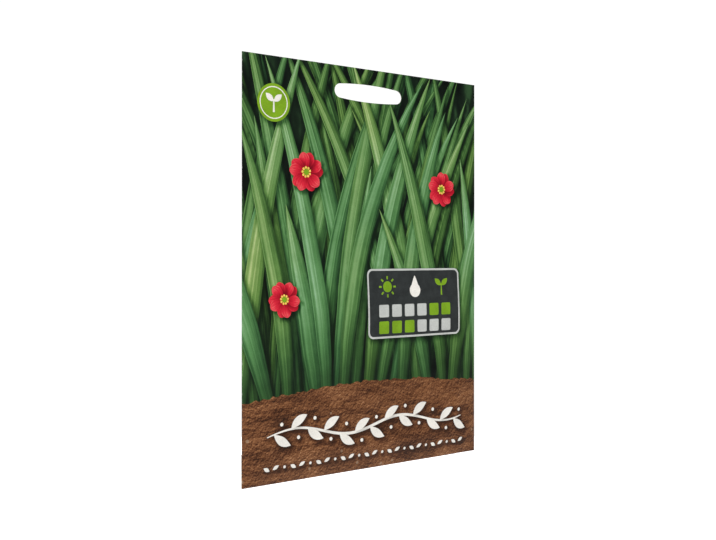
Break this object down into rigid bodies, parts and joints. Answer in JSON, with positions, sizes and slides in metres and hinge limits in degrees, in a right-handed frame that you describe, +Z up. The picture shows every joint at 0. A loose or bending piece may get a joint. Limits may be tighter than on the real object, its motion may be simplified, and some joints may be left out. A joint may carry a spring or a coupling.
{
  "type": "seed packet",
  "caption": "Flat printed paper seed packet with a peg slot in its header, folded sides, a lap seam and a folded bottom flap at the back, and loose bean seeds inside.",
  "frame": {"origin": "middle of the peg slot's upper edge, halfway between the header's front and back layers, where a display peg bears", "axes": "+Z up along the packet's height, +Y out of its back, so the printed front faces -Y, +X to the right as seen from the front"},
  "size_m": [0.12, 0.0068, 0.165],
  "materials": {
    "printed_paper": "semi-gloss printed paper: green and brown print on the front, cream print on the back",
    "bean_seed": "smooth glossy black seed coat"
  },
  "bodies": {
    "root": {"paper_bag": "printed_paper", "bean_seed_01": "bean_seed", "bean_seed_02": "bean_seed", "bean_seed_03": "bean_seed", "bean_seed_04": "bean_seed", "bean_seed_05": "bean_seed", "bean_seed_06": "bean_seed", "bean_seed_07": "bean_seed", "bean_seed_08": "bean_seed", "bean_seed_09": "bean_seed", "bean_seed_10": "bean_seed", "bean_seed_11": "bean_seed", "bean_seed_12": "bean_seed", "bean_seed_13": "bean_seed", "bean_seed_14": "bean_seed", "bean_seed_15": "bean_seed", "bean_seed_16": "bean_seed", "bean_seed_17": "bean_seed", "bean_seed_18": "bean_seed", "bean_seed_19": "bean_seed", "bean_seed_20": "bean_seed", "bean_seed_21": "bean_seed", "bean_seed_22": "bean_seed", "bean_seed_23": "bean_seed", "bean_seed_24": "bean_seed", "bean_seed_25": "bean_seed", "bean_seed_26": "bean_seed", "bean_seed_27": "bean_seed", "bean_seed_28": "bean_seed", "bean_seed_29": "bean_seed", "bean_seed_30": "bean_seed", "bean_seed_31": "bean_seed", "bean_seed_32": "bean_seed", "bean_seed_33": "bean_seed", "bean_seed_34": "bean_seed", "bean_seed_35": "bean_seed", "bean_seed_36": "bean_seed"}
  },
  "joints": []
}
